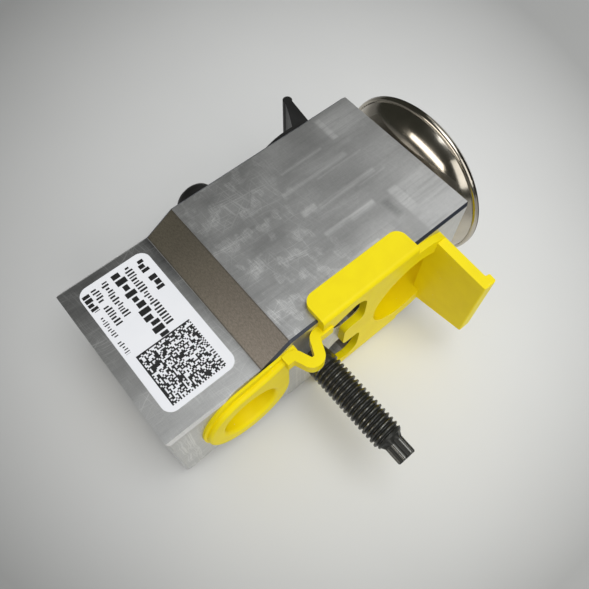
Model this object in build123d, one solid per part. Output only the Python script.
from build123d import *
import math
import os

# Thermostatic expansion valve, block type, with its transport caps on.
# Millimetres. +X runs to the power head, -Y out of the front port face, +Z up through the
# labelled side. The origin is where the fixing stud's axis meets the front port face.

# Edges of turned pieces, the reach of a cut past its face, and how near an edge is looked for
turned_edge = 0.4
cut_past = 1.0
edge_search = 0.01

# Valve block: an extruded profile, wide at the head end, narrow at the foot end
block_length = 69.0
block_depth = 35.0
head_end_width = 27.8
foot_width = 20.8
foot_length = 19.4
slope_length = 6.2
stud_from_foot = 30.8
edge_break = 0.5
step_blend = 1.0

# Ports and passages
suction_from_head = 14.3
suction_bore = 16.0
suction_socket_bore = 21.6
inlet_from_foot = 15.1
inlet_bore = 8.0
inlet_socket_bore = 15.6
outlet_from_suction = 20.3
outlet_bore = 8.0
outlet_socket_bore = 11.0
socket_depth = 6.0
passage_past_axis = 1.5
inlet_reach_into_chamber = 3.0

# Fixing holes beside the stud
fixing_hole_from_suction = 16.1
fixing_hole_spacing = 16.0
fixing_hole_bore = 5.6
fixing_head_bore = 9.0
fixing_head_depth = 5.5

# Fixing stud
stud_thread = 6.0
stud_shank = 5.2
stud_standout = 25.3
stud_shank_length = 3.6
stud_embedded = 9.0
stud_hole_spare = 1.5
stud_drive_length = 3.8
stud_drive_across = 3.9
stud_drive_lobes = 6
stud_drive_flute_radius = 0.62
stud_drive_flute_offset = 0.2
stud_lead = 0.8
stud_fit = 0.05

# Power head, profile radii and heights measured from the block's head end
head_neck_radius = 10.0
head_neck_length = 5.0
head_neck_inside_radius = 7.0
head_fit = 0.05
head_socket_spare = 0.3
head_passage_bore = 12.0
head_shell = 0.9
head_flange_radius = 13.2
head_floor_lift = 0.3
bowl_shoulder_radius = 16.1
bowl_shoulder_height = 1.8
bowl_rim_height = 4.4
rim_radius = 18.8
rim_plate = 0.85
rim_edge_round = 0.8
diaphragm_thickness = 0.2
dome_foot_radius = 14.6
dome_shoulder_radius = 9.4
dome_height = 3.6
dome_bulge = 1.0
dome_plug_hole_radius = 1.5
plug_head_radius = 3.0
plug_head_height = 1.5
plug_stem_length = 1.9
seal_ring_section = 1.5
seal_ring_gap = 0.05

# Diaphragm pad, sensing rod and push pin
pad_radius = 11.0
pad_thickness = 1.3
pad_gap_to_diaphragm = 0.05
pad_boss_radius = 4.6
pad_boss_length = 4.0
rod_diameter = 5.0
rod_fit = 0.05
rod_foot_x = 9.4
rod_into_pad = 2.6
pin_diameter = 2.4
pin_into_rod = 2.5
press_gap = 0.01
seal_pocket_bore = 8.4
seal_pocket_depth = 3.4
rod_seal_section = 1.6
retainer_thickness = 0.3
retainer_teeth = 8
retainer_gap = 0.1
retainer_slot_width = 0.5
retainer_slot_depth = 1.6

# Valve ball, carrier, spring and adjusting screw in the foot end
chamber_bore = 12.0
chamber_top_x = -9.5
orifice_bore = 3.8
ball_diameter = 5.6
seat_gap = 0.04
carrier_radius = 4.7
carrier_thickness = 1.6
carrier_cup_radius = 3.6
carrier_cup_wall_height = 1.4
carrier_boss_radius = 2.6
carrier_boss_length = 2.2
ball_sink = 1.1
damper_radius = 5.9
damper_thickness = 0.3
damper_fingers = 4
damper_finger_length = 3.2
damper_finger_width = 2.6
spring_radius = 3.75
spring_wire = 1.1
spring_turns = 5.0
screw_radius = 5.95
screw_length = 5.6
screw_inset = 0.8
screw_boss_radius = 2.6
screw_boss_length = 1.8
screw_socket_across = 5.0
screw_socket_depth = 3.2
screw_seal_section = 1.2
screw_seal_place = 3.2
screw_groove_gap = 0.05

# Front transport cap: suction plug, clips, pull tab, bent link and liquid plug
cap_fit = 0.08
cap_wall = 1.2
cap_face = 1.5
cap_plug_depth = 5.4
cap_floor = 1.2
suction_flange_radius = 13.2
suction_recess_radius = 9.4
clip_start_x = 0.7
clip_end_from_port = 0.5
clip_reach = 4.4
clip_thickness = 1.3
clip_corner = 2.2
clip_edge_round = 0.9
window_end_from_port = 12.6
window_start_half_width = 9.4
window_half_width = 12.2
window_corner = 3.0
tongue_tip_from_port = 17.3
tongue_half_width = 3.4
tongue_round = 1.4
tab_from_port = 5.0
tab_thickness = 2.1
tab_lean = 0.6
tab_length = 11.9
tab_root_half_width = 11.3
tab_tip_half_width = 9.3
tab_lip_out = 0.9
tab_lip_thickness = 1.8
tab_edge_round = 0.4
ring_outer_radius = 9.1
ring_edge_round = 0.6
ring_dish_radius = 5.7
ring_dish_lip = 0.8
ring_dish_draft = 0.6
ring_back_radius = 9.6
ring_back_lift = 1.0
ring_back_thickness = 0.5
wing_rise = 0.6
wing_neck_z = 7.4
link_width = 1.9
link_top_z = 12.0
link_height = 2.4
link_depth = 3.7
link_forward = 0.4
link_near_x = -0.9
link_valley_near_x = -2.6
link_valley_far_x = -4.4
link_far_x = -5.7
link_bend_radius = 1.2
link_overlap = 2.0

# Rear transport caps
rear_flange = 1.3
rear_flange_radius = 12.7
rear_plug_depth = 5.0
ear_foot_from_port = 2.0
ear_tip_from_port = 7.4
ear_height = 8.6
ear_thickness = 1.5
ear_outer_from_port = 6.9
ear_waist_from_port = 4.5
ear_waist_height = 4.2
ear_bead_radius = 1.05
ear_half_width = 9.5
knob_radius = 4.5
knob_height = 9.2
knob_round = 2.0
knob_plug_depth = 4.6

# Rating label on the foot end's upper side
label_length = 14.5
label_across = 28.9
label_from_foot = 2.95
label_from_front = 3.9
label_corner = 2.0
label_thickness = 0.08

# Places worked out from the sizes above
foot_x = -stud_from_foot
head_x = foot_x + block_length
axis_y = block_depth / 2
half_head_width = head_end_width / 2
half_foot_width = foot_width / 2
foot_step_x = foot_x + foot_length
wide_start_x = foot_step_x + slope_length
suction_x = head_x - suction_from_head
inlet_x = foot_x + inlet_from_foot
outlet_x = suction_x - outlet_from_suction
fixing_hole_x = suction_x - fixing_hole_from_suction
suction_near_x = suction_x - suction_bore / 2
seat_edge_radius = orifice_bore / 2
ball_radius = ball_diameter / 2
ball_x = chamber_top_x - seat_gap - math.sqrt(ball_radius**2 - seat_edge_radius**2)
carrier_x = ball_x - ball_radius + ball_sink
screw_top_x = foot_x + screw_inset + screw_length
diaphragm_x = head_x + bowl_rim_height + rim_plate
pad_top_x = diaphragm_x - pad_gap_to_diaphragm
clip_end_x = suction_x - clip_end_from_port
window_end_x = suction_x - window_end_from_port
tongue_tip_x = suction_x - tongue_tip_from_port
tab_inner_x = suction_x + tab_from_port
tab_outer_x = tab_inner_x + tab_thickness


def port_plane(y):
    return Plane(origin=(0, y, 0), x_dir=(1, 0, 0), z_dir=(0, -1, 0))


def rod_along_y(x, z, radius, y_from, y_to):
    return extrude(port_plane(y_to) * Location((x, z, 0)) * Circle(radius), amount=y_to - y_from)


def rod_along_x(radius, x_from, x_to):
    section = Plane(origin=(x_from, axis_y, 0), x_dir=(0, 1, 0), z_dir=(1, 0, 0))
    return extrude(section * Circle(radius), amount=x_to - x_from)


def turned_about_x(outline):
    half_section = Plane(origin=(0, axis_y, 0), x_dir=(1, 0, 0), z_dir=(0, 0, 1))
    return revolve(make_face(half_section * outline), Axis((0, axis_y, 0), (1, 0, 0)))


def torus_about_x(x, ring_radius, section_radius):
    half_section = Plane(origin=(0, axis_y, 0), x_dir=(1, 0, 0), z_dir=(0, 0, 1))
    section = half_section * Location((x, ring_radius, 0)) * Circle(section_radius)
    return revolve(section, Axis((0, axis_y, 0), (1, 0, 0)))


def block_outline():
    corners = [
        (foot_x, -half_foot_width),
        (foot_step_x, -half_foot_width),
        (wide_start_x, -half_head_width),
        (head_x, -half_head_width),
        (head_x, half_head_width),
        (wide_start_x, half_head_width),
        (foot_step_x, half_foot_width),
        (foot_x, half_foot_width),
    ]
    return Polyline(*corners, close=True)


def valve_block():
    body = extrude(port_plane(block_depth) * make_face(block_outline()), amount=block_depth)
    step_edges = body.edges().filter_by(Axis.Y).filter_by_position(
        Axis.X, foot_step_x - edge_search, wide_start_x + edge_search
    )
    body = fillet(step_edges, step_blend)
    across_block = body.edges().group_by(Axis.Y)
    body = chamfer(across_block[0] + across_block[-1], edge_break)

    body -= rod_along_y(suction_x, 0, suction_bore / 2, 0, block_depth)
    body -= rod_along_y(suction_x, 0, suction_socket_bore / 2, 0, socket_depth)
    body -= rod_along_y(suction_x, 0, suction_socket_bore / 2, block_depth - socket_depth, block_depth)

    chamber_near_y = axis_y - chamber_bore / 2
    body -= rod_along_y(inlet_x, 0, inlet_bore / 2, 0, chamber_near_y + inlet_reach_into_chamber)
    body -= rod_along_y(inlet_x, 0, inlet_socket_bore / 2, 0, socket_depth)
    outlet_end_y = axis_y - orifice_bore / 2 - passage_past_axis
    body -= rod_along_y(outlet_x, 0, outlet_bore / 2, outlet_end_y, block_depth)
    body -= rod_along_y(outlet_x, 0, outlet_socket_bore / 2, block_depth - socket_depth, block_depth)

    for side in (-1, 1):
        z = side * fixing_hole_spacing / 2
        body -= rod_along_y(fixing_hole_x, z, fixing_hole_bore / 2, 0, block_depth)
        body -= rod_along_y(fixing_hole_x, z, fixing_head_bore / 2, 0, fixing_head_depth)
    stud_hole_radius = stud_shank / 2 + stud_fit
    body -= rod_along_y(0, 0, stud_hole_radius, 0, stud_embedded + stud_hole_spare)

    neck_socket_x = head_x - head_neck_length - head_socket_spare
    body -= rod_along_x(head_neck_radius + head_fit, neck_socket_x, head_x)
    body -= rod_along_x(seal_seat_radius(), head_x - seal_ring_section, head_x)
    body -= rod_along_x(head_passage_bore / 2, suction_x, neck_socket_x)
    body -= rod_along_x(seal_pocket_bore / 2, seal_pocket_x(), suction_x)
    body -= rod_along_x(rod_diameter / 2 + rod_fit, outlet_x, seal_pocket_x())
    body -= rod_along_x(orifice_bore / 2, chamber_top_x, outlet_x)
    body -= rod_along_x(chamber_bore / 2, foot_x, chamber_top_x)
    return body


def seal_seat_radius():
    return head_neck_radius + seal_ring_section + 2 * seal_ring_gap


def seal_pocket_x():
    return suction_near_x - seal_pocket_depth


def fixing_stud():
    tip_y = -stud_standout
    drive_y = tip_y + stud_drive_length
    lead_y = drive_y + stud_lead
    thread_start_y = -stud_shank_length
    thread_radius = stud_thread / 2
    drive_radius = stud_drive_across / 2
    profile = Polyline(
        (0, stud_embedded),
        (stud_shank / 2 - stud_lead / 2, stud_embedded),
        (stud_shank / 2, stud_embedded - stud_lead),
        (stud_shank / 2, thread_start_y + stud_lead / 2),
        (thread_radius, thread_start_y),
        (thread_radius, lead_y),
        (drive_radius, drive_y),
        (drive_radius, tip_y + stud_lead / 4),
        (drive_radius - stud_lead / 4, tip_y),
        (0, tip_y),
        close=True,
    )
    body = revolve(make_face(Plane.XY * profile), Axis.Y)
    for lobe in range(stud_drive_lobes):
        angle = 2 * math.pi * (lobe + 0.5) / stud_drive_lobes
        reach = drive_radius + stud_drive_flute_offset
        body -= rod_along_y(
            reach * math.cos(angle), reach * math.sin(angle), stud_drive_flute_radius,
            tip_y - cut_past, drive_y - stud_lead / 4,
        )
    return body


def front_transport_cap():
    face = port_plane(0)
    arm_half_width = half_head_width + cap_fit + clip_thickness - clip_edge_round

    # suction side: a round flange cut off at the tab, and two arms that carry the clips
    flange = Location((suction_x, 0)) * Circle(suction_flange_radius)
    arms_centre = Location(((clip_start_x + clip_end_x) / 2, 0))
    arms = arms_centre * Rectangle(clip_end_x - clip_start_x, 2 * arm_half_width)
    beyond_tab = Location((tab_outer_x + suction_flange_radius, 0)) * Rectangle(
        2 * suction_flange_radius, 4 * suction_flange_radius
    )
    body = extrude(face * (flange + arms - beyond_tab - cap_window()), amount=cap_face)

    # plug in the suction socket
    plug_radius = suction_socket_bore / 2 - cap_fit
    body += rod_along_y(suction_x, 0, plug_radius, 0, cap_plug_depth)
    body -= rod_along_y(suction_x, 0, suction_recess_radius, -cap_face, cap_plug_depth - cap_floor)

    # clip plates that hook over the upper and lower sides of the block
    clip_length = clip_end_x - clip_start_x
    clip_run = clip_reach + cap_face
    for side in (-1, 1):
        low_z = half_head_width + cap_fit
        plate = Plane(origin=(0, 0, low_z), x_dir=(1, 0, 0), z_dir=(0, 0, 1))
        centre = Location(((clip_start_x + clip_end_x) / 2, clip_reach - clip_run / 2))
        outline = plate * centre * RectangleRounded(clip_length, clip_run, clip_corner)
        sheet = extrude(outline, amount=clip_thickness)
        front_half = Location(((clip_start_x + clip_end_x) / 2, -cap_face + clip_corner / 2))
        sheet += extrude(plate * front_half * Rectangle(clip_length, clip_corner), amount=clip_thickness)
        front_edges = sheet.edges().filter_by(Axis.X).sort_by(Axis.Y).group_by(Axis.Y)[0]
        sheet = fillet(front_edges.sort_by(Axis.Z)[-1], clip_edge_round)
        body += sheet if side > 0 else mirror(sheet, Plane.XY)
    body += pull_tab()

    # liquid side: back flange, raised ring with a dish, and its plug
    back = ring_outline(ring_back_radius, ring_back_lift, link_top_z)
    body += extrude(face * back, amount=ring_back_thickness)
    ring = extrude(face * ring_outline(ring_outer_radius, 0, link_top_z), amount=cap_face)
    body += fillet(ring.faces().sort_by(Axis.Y)[0].edges(), ring_edge_round)
    liquid_plug_radius = inlet_socket_bore / 2 - cap_fit
    body += rod_along_y(inlet_x, 0, liquid_plug_radius, 0, cap_plug_depth)
    return body + bent_link() - liquid_dish()


# Opening between the arms with a tongue reaching into it from the suction flange
def cap_window():
    straight_end_x = window_end_x - window_corner
    half = Polyline(
        (clip_start_x - cut_past, 0),
        (clip_start_x - cut_past, window_start_half_width),
        (clip_start_x, window_start_half_width),
        (straight_end_x, window_half_width),
        (window_end_x, window_half_width),
        (window_end_x, tongue_half_width),
        (tongue_tip_x, tongue_half_width),
        (tongue_tip_x, 0),
        close=True,
    )
    opening = make_face(half)
    opening = fillet(opening.vertices().filter_by_position(
        Axis.X, window_end_x - edge_search, window_end_x + edge_search
    ).sort_by(Axis.Y)[-1], window_corner)
    opening = fillet(opening.vertices().filter_by_position(
        Axis.Y, tongue_half_width - edge_search, tongue_half_width + edge_search
    ), tongue_round)
    return opening + mirror(opening, Plane.XZ)


# A round flange with a straight wing that runs up to the link
def ring_outline(radius, lift, wing_top_z):
    wing_end_x = link_far_x + link_width / 2
    wing = Polyline(
        (inlet_x, radius + lift),
        (foot_step_x, radius + lift + wing_rise),
        (wing_end_x, wing_top_z),
        (wing_end_x, wing_top_z - link_height),
        (inlet_x + radius, wing_neck_z),
        (inlet_x + radius, lift),
        (inlet_x, lift),
        close=True,
    )
    return Location((inlet_x, lift)) * Circle(radius) + make_face(wing)


def liquid_dish():
    floor_y = cap_plug_depth - cap_floor
    floor_radius = ring_dish_radius - ring_dish_draft
    lip_middle = ring_dish_lip * (1 - math.sqrt(0.5))
    lip = ThreePointArc(
        (ring_dish_radius + ring_dish_lip, -cap_face),
        (ring_dish_radius + lip_middle, -cap_face + lip_middle),
        (ring_dish_radius, -cap_face + ring_dish_lip),
    )
    walls = Polyline(
        (ring_dish_radius, -cap_face + ring_dish_lip),
        (floor_radius, floor_y - ring_dish_lip),
        (floor_radius - ring_dish_lip, floor_y),
        (0, floor_y),
        (0, -cap_face - cut_past),
        (ring_dish_radius + ring_dish_lip, -cap_face - cut_past),
        (ring_dish_radius + ring_dish_lip, -cap_face),
    )
    return Location((inlet_x, 0, 0)) * revolve(make_face(Plane.XY * (Curve() + [lip, walls])), Axis.Y)


def pull_tab():
    lean_at_lip = tab_lean * (tab_length - tab_lip_thickness) / tab_length
    tip_y = -cap_face - tab_length
    lip_y = tip_y + tab_lip_thickness
    profile = Polyline(
        (tab_inner_x, 0),
        (tab_inner_x + tab_lean, tip_y),
        (tab_outer_x + tab_lean + tab_lip_out, tip_y),
        (tab_outer_x + tab_lean + tab_lip_out, lip_y),
        (tab_outer_x + lean_at_lip, lip_y),
        (tab_outer_x, 0),
        close=True,
    )
    plate = extrude(make_face(Plane.XY * profile), amount=tab_root_half_width, both=True)
    lip_edges = plate.edges().filter_by(Axis.Z)
    lip_edges = lip_edges.filter_by_position(Axis.Y, tip_y - cut_past, lip_y + edge_search)
    plate = fillet(lip_edges, tab_edge_round)
    side_view = Plane(origin=(tab_inner_x - cut_past, 0, 0), x_dir=(0, 1, 0), z_dir=(1, 0, 0))
    taper = Polyline(
        (0, -tab_root_half_width),
        (0, tab_root_half_width),
        (tip_y, tab_tip_half_width),
        (tip_y, -tab_tip_half_width),
        close=True,
    )
    across_tab = tab_thickness + tab_lean + tab_lip_out + 2 * cut_past
    return plate & extrude(side_view * make_face(taper), amount=across_tab)


def bent_link():
    near_y = -link_width / 2
    far_y = near_y - link_forward
    valley_y = near_y - link_depth
    path = FilletPolyline(
        (clip_start_x + link_overlap, near_y),
        (link_near_x, near_y),
        (link_valley_near_x, valley_y),
        (link_valley_far_x, valley_y),
        (link_far_x, far_y),
        (link_far_x - link_overlap, far_y),
        radius=link_bend_radius,
    )
    band = trace(Plane.XY * path, link_width)
    return extrude(Location((0, 0, link_top_z - link_height)) * band, amount=link_height)


def rear_suction_cap():
    flange = Location((suction_x, 0)) * Circle(rear_flange_radius)
    ear_outer_x = suction_x + ear_outer_from_port
    ear_tip_x = suction_x + ear_tip_from_port
    beyond_ear = Location((ear_outer_x + rear_flange_radius, 0)) * Rectangle(
        2 * rear_flange_radius, 4 * rear_flange_radius
    )
    flange_y = block_depth + rear_flange
    body = extrude(port_plane(flange_y) * (flange - beyond_ear), amount=rear_flange)
    plug_radius = suction_socket_bore / 2 - cap_fit
    body += rod_along_y(suction_x, 0, plug_radius, block_depth - rear_plug_depth, block_depth)
    hollow_y = block_depth - rear_plug_depth + cap_floor
    body -= rod_along_y(suction_x, 0, suction_recess_radius - cap_wall, hollow_y, flange_y)

    tip_y = flange_y + ear_height
    root_y = block_depth + rear_flange / 2
    foot = (suction_x + ear_foot_from_port, flange_y)
    waist = (suction_x + ear_waist_from_port, flange_y + ear_waist_height)
    inner_tip = (ear_tip_x - ear_thickness / 2, tip_y)
    outer_side = Polyline(
        inner_tip,
        (ear_tip_x + ear_thickness / 2, tip_y),
        (ear_outer_x, flange_y),
        (ear_outer_x, root_y),
        (suction_x + ear_foot_from_port, root_y),
        foot,
    )
    web = Curve() + [outer_side, ThreePointArc(foot, waist, inner_tip)]
    ear = extrude(make_face(Plane.XY * web), amount=ear_half_width, both=True)
    bead = Plane.XY * Location((ear_tip_x, tip_y)) * Circle(ear_bead_radius)
    return body + ear + extrude(bead, amount=ear_half_width, both=True)


def rear_liquid_cap():
    plug_radius = outlet_socket_bore / 2 - cap_fit
    knob = rod_along_y(outlet_x, 0, knob_radius, block_depth, block_depth + knob_height)
    far_edge = knob.edges().sort_by(Axis.Y)[-1]
    knob = fillet(far_edge, knob_round)
    foot_y = block_depth - knob_plug_depth
    body = knob + rod_along_y(outlet_x, 0, plug_radius, foot_y, block_depth)
    hollow_end_y = block_depth + knob_height - knob_round
    return body - rod_along_y(outlet_x, 0, knob_radius - cap_wall, foot_y, hollow_end_y)


def head_lower_housing():
    neck_x = head_x - head_neck_length
    floor_x = head_x + head_shell + head_floor_lift
    rim_x = head_x + bowl_rim_height
    rim_top_x = rim_x + rim_plate
    flange_top = (head_x + head_floor_lift, head_flange_radius)
    bowl_middle = (head_x + bowl_shoulder_height, bowl_shoulder_radius)
    bowl_top = (rim_x, rim_radius - rim_edge_round)
    edge_middle = rim_edge_round * (1 - math.sqrt(0.5))
    inner_foot = (floor_x, head_flange_radius - head_shell)
    inner_middle = (head_x + bowl_shoulder_height + head_shell / 2, bowl_shoulder_radius - head_shell)
    inner_top = (rim_top_x, rim_radius - rim_edge_round - head_shell)
    neck_and_flange = Polyline(
        inner_foot,
        (floor_x, head_neck_inside_radius),
        (neck_x, head_neck_inside_radius),
        (neck_x, head_neck_radius - turned_edge),
        (neck_x + turned_edge, head_neck_radius),
        (head_x, head_neck_radius),
        (head_x, head_flange_radius - turned_edge),
        flange_top,
    )
    rim_edge = ThreePointArc(
        bowl_top, (rim_x + edge_middle, rim_radius - edge_middle), (rim_x + rim_edge_round, rim_radius)
    )
    rim = Polyline((rim_x + rim_edge_round, rim_radius), (rim_top_x, rim_radius), inner_top)
    outer_bowl = ThreePointArc(flange_top, bowl_middle, bowl_top)
    inner_bowl = ThreePointArc(inner_top, inner_middle, inner_foot)
    return turned_about_x(Curve() + [neck_and_flange, outer_bowl, rim_edge, rim, inner_bowl])


def head_upper_housing():
    base_x = diaphragm_x + diaphragm_thickness
    top_x = base_x + dome_height
    middle_x = (base_x + rim_plate + top_x) / 2
    middle_radius = (dome_foot_radius + dome_shoulder_radius) / 2 + dome_bulge
    outer_foot = (base_x + rim_plate, dome_foot_radius + head_shell)
    outer_top = (top_x, dome_shoulder_radius)
    inner_foot = (base_x, dome_foot_radius)
    inner_top = (top_x - head_shell, dome_shoulder_radius - head_shell / 2)
    rim = Polyline(
        inner_foot,
        (base_x, rim_radius),
        (base_x + rim_plate - rim_edge_round, rim_radius),
        (base_x + rim_plate, rim_radius - rim_edge_round),
        outer_foot,
    )
    crown = Polyline(
        outer_top,
        (top_x, dome_plug_hole_radius),
        (top_x - head_shell, dome_plug_hole_radius),
        inner_top,
    )
    outer_dome = ThreePointArc(outer_foot, (middle_x, middle_radius + head_shell / 2), outer_top)
    inner_middle = (middle_x - head_shell, middle_radius - head_shell / 2)
    inner_dome = ThreePointArc(inner_top, inner_middle, inner_foot)
    return turned_about_x(Curve() + [rim, outer_dome, crown, inner_dome])


def diaphragm():
    return rod_along_x(rim_radius - rim_edge_round, diaphragm_x, diaphragm_x + diaphragm_thickness)


def charge_plug():
    top_x = diaphragm_x + diaphragm_thickness + dome_height
    stem = dome_plug_hole_radius - press_gap
    profile = [
        (top_x - plug_stem_length, 0),
        (top_x - plug_stem_length, stem),
        (top_x, stem),
        (top_x, plug_head_radius),
        (top_x + plug_head_height / 2, plug_head_radius),
        (top_x + plug_head_height, plug_head_radius / 2),
        (top_x + plug_head_height, 0),
    ]
    return turned_about_x(Polyline(*profile, close=True))


def head_seal_ring():
    section = seal_ring_section / 2
    ring_radius = head_neck_radius + seal_ring_gap + section
    return torus_about_x(head_x - section, ring_radius, section - seal_ring_gap)


def diaphragm_pad():
    disc_x = pad_top_x - pad_thickness
    boss_x = disc_x - pad_boss_length
    socket = rod_diameter / 2 + press_gap
    profile = [
        (boss_x, socket),
        (boss_x, pad_boss_radius),
        (disc_x, pad_boss_radius),
        (disc_x, pad_radius - turned_edge),
        (disc_x + turned_edge, pad_radius),
        (pad_top_x, pad_radius),
        (pad_top_x, 0),
        (boss_x + rod_into_pad, 0),
        (boss_x + rod_into_pad, socket),
    ]
    return turned_about_x(Polyline(*profile, close=True))


def rod_top_x():
    return pad_top_x - pad_thickness - pad_boss_length + rod_into_pad


def sensing_rod():
    socket = pin_diameter / 2 + press_gap
    radius = rod_diameter / 2
    profile = [
        (rod_foot_x, socket),
        (rod_foot_x, radius - turned_edge),
        (rod_foot_x + turned_edge, radius),
        (rod_top_x() - turned_edge, radius),
        (rod_top_x(), radius - turned_edge),
        (rod_top_x(), 0),
        (rod_foot_x + pin_into_rod, 0),
        (rod_foot_x + pin_into_rod, socket),
    ]
    return turned_about_x(Polyline(*profile, close=True))


def push_pin():
    return rod_along_x(pin_diameter / 2, ball_x + ball_radius, rod_foot_x + pin_into_rod)


def rod_seal_ring():
    section = rod_seal_section / 2
    middle = (rod_diameter + seal_pocket_bore) / 4
    return torus_about_x(seal_pocket_x() + section, middle, section)


def rod_seal_retainer():
    start_x = seal_pocket_x() + rod_seal_section + retainer_gap
    ring = rod_along_x(seal_pocket_bore / 2 - press_gap, start_x, start_x + retainer_thickness)
    hole = rod_diameter / 2 + retainer_gap
    ring -= rod_along_x(hole, start_x - cut_past, start_x + retainer_thickness + cut_past)
    section = Plane(origin=(start_x, axis_y, 0), x_dir=(0, 1, 0), z_dir=(1, 0, 0))
    slot_place = PolarLocations(seal_pocket_bore / 2, retainer_teeth)
    slot = Rectangle(retainer_slot_depth, retainer_slot_width)
    notches = Sketch() + [place * slot for place in slot_place]
    return ring - extrude(section * notches, amount=retainer_thickness)


def valve_ball():
    return Location((ball_x, axis_y, 0)) * Sphere(ball_radius)


def ball_carrier():
    top_x = carrier_x + carrier_cup_wall_height
    base_x = carrier_x - carrier_thickness
    seat = ball_radius + press_gap
    profile = [
        (base_x - carrier_boss_length, 0),
        (base_x - carrier_boss_length, carrier_boss_radius - turned_edge),
        (base_x - carrier_boss_length + turned_edge, carrier_boss_radius),
        (base_x, carrier_boss_radius),
        (base_x, carrier_radius),
        (carrier_x - turned_edge, carrier_radius),
        (carrier_x, carrier_cup_radius),
        (top_x, carrier_cup_radius - turned_edge),
        (top_x, 0),
    ]
    body = turned_about_x(Polyline(*profile, close=True))
    return body - Location((ball_x, axis_y, 0)) * Sphere(seat)


def damper_ring():
    front_x = carrier_x - carrier_thickness
    plate_x = front_x - damper_thickness
    hole = carrier_boss_radius + press_gap
    body = rod_along_x(carrier_radius, plate_x, front_x) - rod_along_x(hole, plate_x, front_x)
    finger_radius = damper_radius - damper_thickness / 2
    finger_end_x = plate_x - damper_finger_length
    section = Plane(origin=(plate_x, axis_y, 0), x_dir=(0, 1, 0), z_dir=(1, 0, 0))
    shell = Circle(damper_radius) - Circle(damper_radius - damper_thickness)
    slot = Location((finger_radius, 0)) * Rectangle(damper_finger_width, damper_finger_width)
    arm = Location((damper_radius / 2, 0)) * Rectangle(damper_radius, damper_finger_width)
    for finger in range(damper_fingers):
        turn = Rot(0, 0, 360 * finger / damper_fingers)
        body += extrude(section * (shell & turn * slot), amount=finger_end_x - plate_x)
        body += extrude(section * (turn * arm & Circle(damper_radius)), amount=damper_thickness)
    return body - rod_along_x(hole, plate_x - cut_past, front_x + cut_past)


def superheat_spring():
    start_x = screw_top_x + spring_wire / 2
    end_x = carrier_x - carrier_thickness - damper_thickness - spring_wire / 2
    length = end_x - start_x
    helix = Helix(
        pitch=length / spring_turns, height=length, radius=spring_radius,
        center=(start_x, axis_y, 0), direction=(1, 0, 0),
    )
    section = Plane(origin=helix @ 0, z_dir=helix % 0) * Circle(spring_wire / 2)
    return sweep(section, path=helix)


def adjusting_screw():
    foot = foot_x + screw_inset
    groove_floor = screw_radius - screw_seal_section
    groove_x = foot + screw_seal_place
    boss_x = screw_top_x + screw_boss_length
    profile = [
        (foot, 0),
        (foot, screw_radius - turned_edge),
        (foot + turned_edge, screw_radius),
        (groove_x, screw_radius),
        (groove_x, groove_floor),
        (groove_x + screw_seal_section + 2 * screw_groove_gap, groove_floor),
        (groove_x + screw_seal_section + 2 * screw_groove_gap, screw_radius),
        (screw_top_x, screw_radius),
        (screw_top_x, screw_boss_radius),
        (boss_x, screw_boss_radius - turned_edge),
        (boss_x, 0),
    ]
    socket_face = Plane(origin=(foot, axis_y, 0), x_dir=(0, 1, 0), z_dir=(1, 0, 0))
    hexagon = RegularPolygon(screw_socket_across / math.sqrt(3), 6)
    socket = extrude(socket_face * hexagon, amount=screw_socket_depth)
    return turned_about_x(Polyline(*profile, close=True)) - socket


def screw_seal_ring():
    section = screw_seal_section / 2
    middle_x = foot_x + screw_inset + screw_seal_place + screw_groove_gap + section
    return torus_about_x(middle_x, screw_radius - section, section)


def rating_label():
    face = Plane(origin=(0, 0, half_foot_width), x_dir=(1, 0, 0), z_dir=(0, 0, 1))
    centre = Location((foot_x + label_from_foot + label_length / 2, label_from_front + label_across / 2))
    outline = RectangleRounded(label_length, label_across, label_corner)
    return extrude(face * centre * outline, amount=label_thickness)


pieces = {
    "valve_block": valve_block,
    "fixing_stud": fixing_stud,
    "front_transport_cap": front_transport_cap,
    "rear_suction_cap": rear_suction_cap,
    "rear_liquid_cap": rear_liquid_cap,
    "head_lower_housing": head_lower_housing,
    "head_upper_housing": head_upper_housing,
    "diaphragm": diaphragm,
    "charge_plug": charge_plug,
    "head_seal_ring": head_seal_ring,
    "diaphragm_pad": diaphragm_pad,
    "sensing_rod": sensing_rod,
    "push_pin": push_pin,
    "rod_seal_ring": rod_seal_ring,
    "rod_seal_retainer": rod_seal_retainer,
    "valve_ball": valve_ball,
    "ball_carrier": ball_carrier,
    "damper_ring": damper_ring,
    "superheat_spring": superheat_spring,
    "adjusting_screw": adjusting_screw,
    "screw_seal_ring": screw_seal_ring,
    "rating_label": rating_label,
}

os.makedirs("parts", exist_ok=True)
for name, make in pieces.items():
    export_step(make(), f"parts/{name}.step")
    print("wrote", name)
